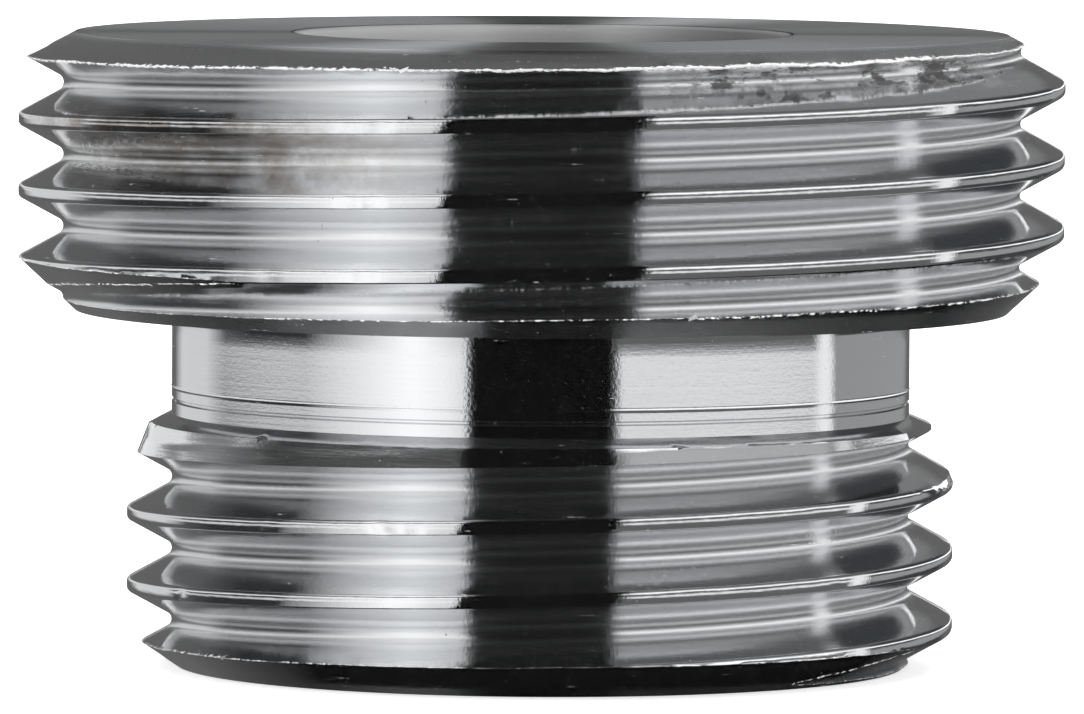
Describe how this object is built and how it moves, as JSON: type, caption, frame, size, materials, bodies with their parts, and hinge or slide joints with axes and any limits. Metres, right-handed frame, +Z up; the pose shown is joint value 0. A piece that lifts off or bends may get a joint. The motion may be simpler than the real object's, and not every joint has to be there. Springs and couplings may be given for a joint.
{
  "type": "reducing nipple",
  "caption": "Short one-piece pipe nipple with a wide male pipe thread, a plain neck, a narrower male pipe thread, and a hexagonal key passage through its bore.",
  "frame": {"origin": "centre of the small end face, on the thread axis", "axes": "+Z up the thread axis, from the small end to the large end; +X and +Y lie in the end face, with two corners of the key passage on X"},
  "size_m": [0.0264, 0.0264, 0.016],
  "materials": {
    "bright_plating": "polished"
  },
  "bodies": {
    "root": {"nipple_body": "bright_plating"}
  },
  "joints": []
}
